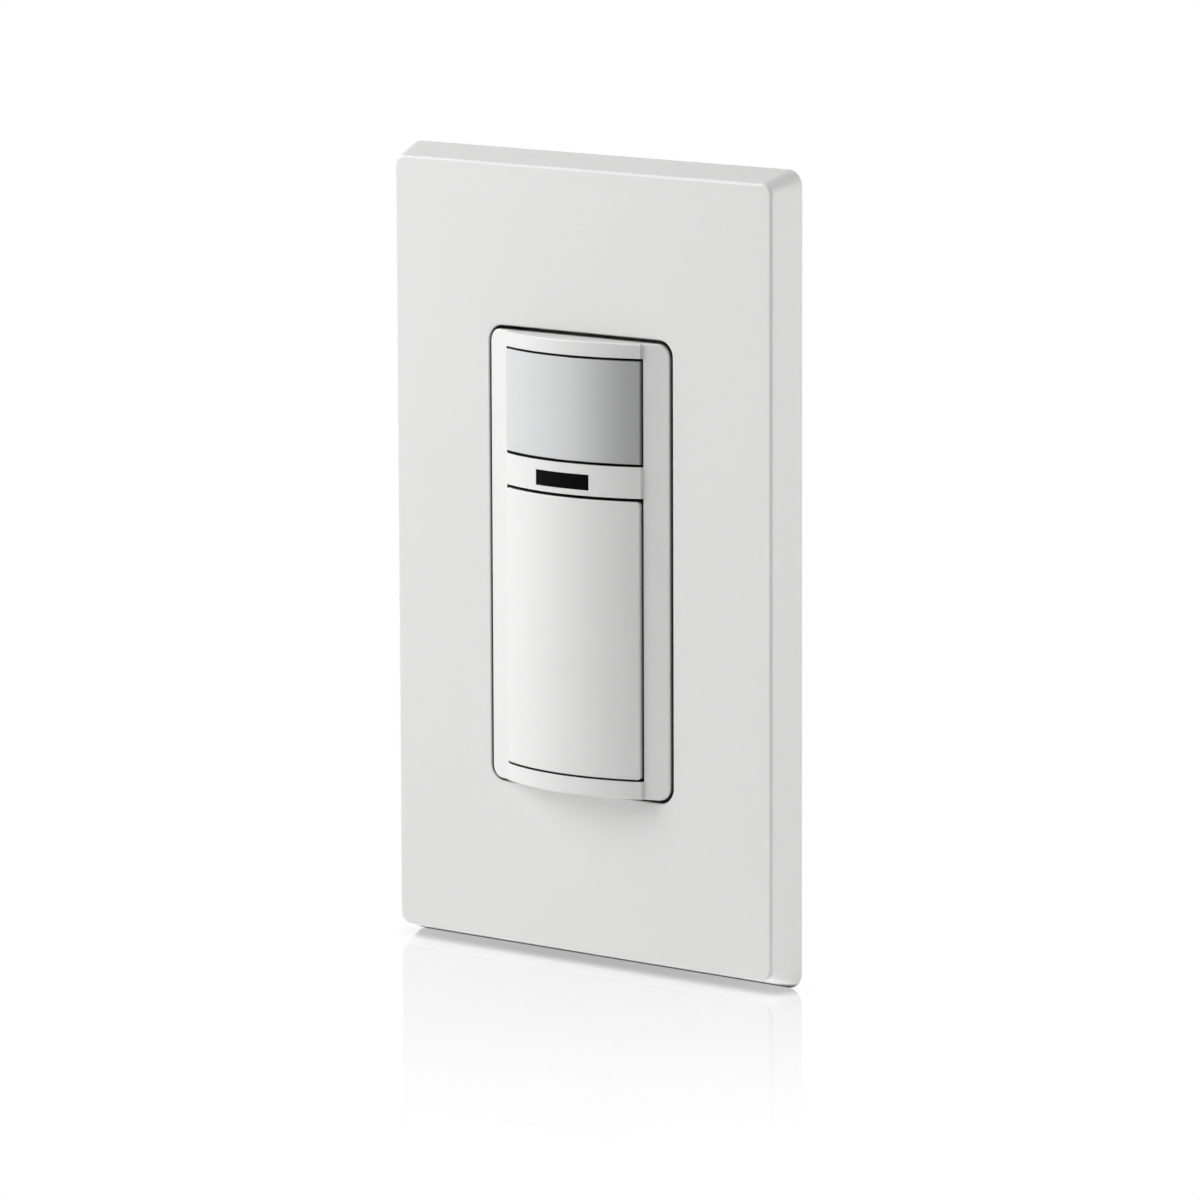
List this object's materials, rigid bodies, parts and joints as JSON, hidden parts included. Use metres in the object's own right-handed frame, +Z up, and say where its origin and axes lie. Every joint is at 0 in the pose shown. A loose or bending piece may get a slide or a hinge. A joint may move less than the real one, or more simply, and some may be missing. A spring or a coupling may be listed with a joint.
{
  "type": "motion sensor light switch",
  "caption": "Wall switch with a curved heat-sensing lens, a large push button, an indicator window and a push-on screwless plate; relay and terminals in a rear housing.",
  "frame": {"origin": "midway between the two box screws, on the plane of the wall (the strap's rear face)", "axes": "X to the right of someone facing the wall, Y into the wall, Z up"},
  "size_m": [0.0736, 0.0315, 0.118],
  "materials": {
    "wallplate_cover": "smooth satin white",
    "wallplate_subplate": "plain white moulding",
    "subplate_screws": "zinc plated",
    "mounting_strap": "zinc plated sheet steel",
    "box_screws": "zinc plated",
    "screw_retainers": "natural plastic",
    "front_bezel": "smooth satin white",
    "sensor_lens": "milky translucent",
    "indicator_window": "smoked, dark",
    "push_button": "smooth satin white",
    "button_springs": "music wire",
    "lens_baffle": "dull black",
    "tact_switch_body": "dull black",
    "tact_switch_plunger": "dull black",
    "time_delay_trimmer": "blue moulding",
    "time_delay_dial": "ivory",
    "light_level_trimmer": "blue moulding",
    "light_level_dial": "ivory",
    "pir_header": "plated",
    "pir_element": "ceramic",
    "pir_filter": "dark coated silicon",
    "pir_can": "nickel plated",
    "status_led": "tinted clear",
    "photocell": "clear",
    "control_board": "green solder mask",
    "microcontroller": "dull black",
    "amplifier_chip": "dull black",
    "control_board_chips": "ceramic",
    "board_header": "dull black strip, tinned pins",
    "power_board": "green solder mask",
    "relay_base": "dull black",
    "relay_yoke": "plated soft iron",
    "relay_core": "plated soft iron",
    "relay_coil": "enamelled copper winding",
    "relay_armature": "plated soft iron",
    "relay_contact_blade": "phosphor bronze",
    "relay_fixed_contact": "copper alloy",
    "relay_cover": "blue",
    "film_capacitor": "yellow box",
    "electrolytic_capacitor": "black sleeve",
    "varistor": "blue coating",
    "fuse": "brown coating",
    "inductor": "copper on ferrite",
    "rear_housing": "fine grained dark grey",
    "housing_screws": "zinc plated",
    "insulating_sheet": "off-white film",
    "line_terminal_plate": "brass strip",
    "load_terminal_plate": "brass strip",
    "neutral_terminal_plate": "brass strip",
    "terminal_clamps": "zinc plated",
    "line_and_load_screws": "brass",
    "neutral_screw": "nickel plated",
    "ground_screw": "green"
  },
  "bodies": {
    "switch_frame": {"wallplate_subplate": "wallplate_subplate", "subplate_screws": "subplate_screws", "mounting_strap": "mounting_strap", "box_screws": "box_screws", "screw_retainers": "screw_retainers", "front_bezel": "front_bezel", "sensor_lens": "sensor_lens", "indicator_window": "indicator_window", "button_springs": "button_springs", "lens_baffle": "lens_baffle", "tact_switch_body": "tact_switch_body", "time_delay_trimmer": "time_delay_trimmer", "light_level_trimmer": "light_level_trimmer", "pir_header": "pir_header", "pir_element": "pir_element", "pir_filter": "pir_filter", "pir_can": "pir_can", "status_led": "status_led", "photocell": "photocell", "control_board": "control_board", "microcontroller": "microcontroller", "amplifier_chip": "amplifier_chip", "control_board_chips": "control_board_chips", "board_header": "board_header", "power_board": "power_board", "relay_base": "relay_base", "relay_yoke": "relay_yoke", "relay_core": "relay_core", "relay_coil": "relay_coil", "relay_fixed_contact": "relay_fixed_contact", "relay_cover": "relay_cover", "film_capacitor": "film_capacitor", "electrolytic_capacitor": "electrolytic_capacitor", "varistor": "varistor", "fuse": "fuse", "inductor": "inductor", "rear_housing": "rear_housing", "housing_screws": "housing_screws", "insulating_sheet": "insulating_sheet", "line_terminal_plate": "line_terminal_plate", "load_terminal_plate": "load_terminal_plate", "neutral_terminal_plate": "neutral_terminal_plate", "terminal_clamps": "terminal_clamps", "line_and_load_screws": "line_and_load_screws", "neutral_screw": "neutral_screw", "ground_screw": "ground_screw"},
    "plate_cover": {"wallplate_cover": "wallplate_cover"},
    "button": {"push_button": "push_button"},
    "switch_plunger": {"tact_switch_plunger": "tact_switch_plunger"},
    "delay_dial": {"time_delay_dial": "time_delay_dial"},
    "light_dial": {"light_level_dial": "light_level_dial"},
    "armature": {"relay_armature": "relay_armature", "relay_contact_blade": "relay_contact_blade"}
  },
  "joints": [
    {"name": "cover_pull", "type": "slide", "parent": "switch_frame", "child": "plate_cover", "axis": [0, -1, 0], "range_m": [0, 0.02]},
    {"name": "button_press", "type": "hinge", "parent": "switch_frame", "child": "button", "pos_m": [0, -0.0046, 0.00799], "axis": [1, 0, 0], "range_deg": [0, 1.5], "stiffness_Nm_per_rad": 0.8, "springref_deg": -1.72, "deforming": ["button_springs"]},
    {"name": "plunger_press", "type": "slide", "parent": "switch_frame", "child": "switch_plunger", "axis": [0, 1, 0], "range_m": [0, 0.00055]},
    {"name": "time_delay_turn", "type": "hinge", "parent": "switch_frame", "child": "delay_dial", "pos_m": [-0.007, 0, 0], "axis": [0, 1, 0], "range_deg": [-135, 135]},
    {"name": "light_level_turn", "type": "hinge", "parent": "switch_frame", "child": "light_dial", "pos_m": [0.007, 0, 0], "axis": [0, 1, 0], "range_deg": [-135, 135]},
    {"name": "armature_tip", "type": "hinge", "parent": "switch_frame", "child": "armature", "pos_m": [0.0071, 0.0073, 0.0128], "axis": [0, 0, -1], "range_deg": [0, 3.3], "stiffness_Nm_per_rad": 0.02, "springref_deg": -5.73}
  ],
  "couplings": [
    {"joint": "plunger_press", "follows": "button_press", "m_per_rad": 0.01999}
  ]
}
